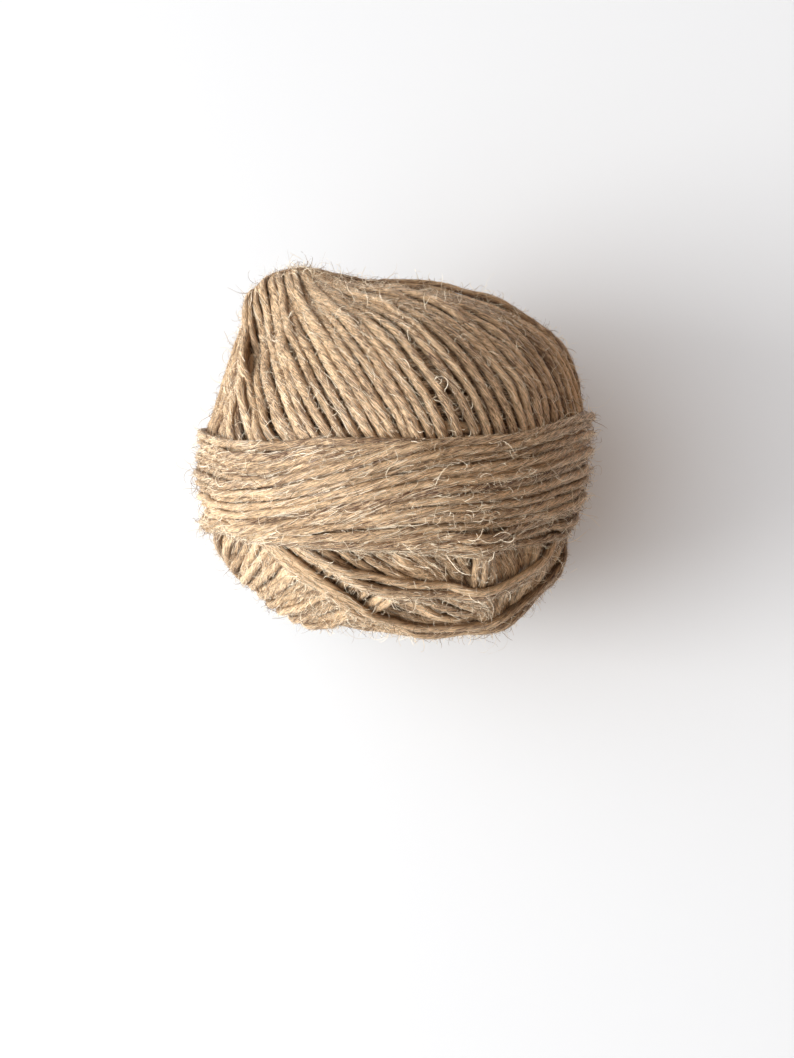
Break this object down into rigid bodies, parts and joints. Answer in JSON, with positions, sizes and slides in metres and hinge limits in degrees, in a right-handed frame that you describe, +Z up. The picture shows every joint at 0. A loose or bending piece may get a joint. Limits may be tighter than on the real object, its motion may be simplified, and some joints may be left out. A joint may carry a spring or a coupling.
{
  "type": "ball of twine",
  "caption": "Round-shouldered ball of natural jute twine wound on the skew, with a raised belly band and stray bundles across its face; lies on a small flat.",
  "frame": {"origin": "on the flat the ball rests on, under the middle of the ball's overall box", "axes": "+X along the ball's widest way, with the belly band running round it; +Y towards the raised winding pole; +Z up, with the crossing bundles on the upper face"},
  "size_m": [0.0776, 0.0724, 0.0742],
  "materials": {
    "jute": "dry, hairy two-ply jute twine in its natural brown"
  },
  "bodies": {
    "root": {"twine_ball": "jute"}
  },
  "joints": []
}
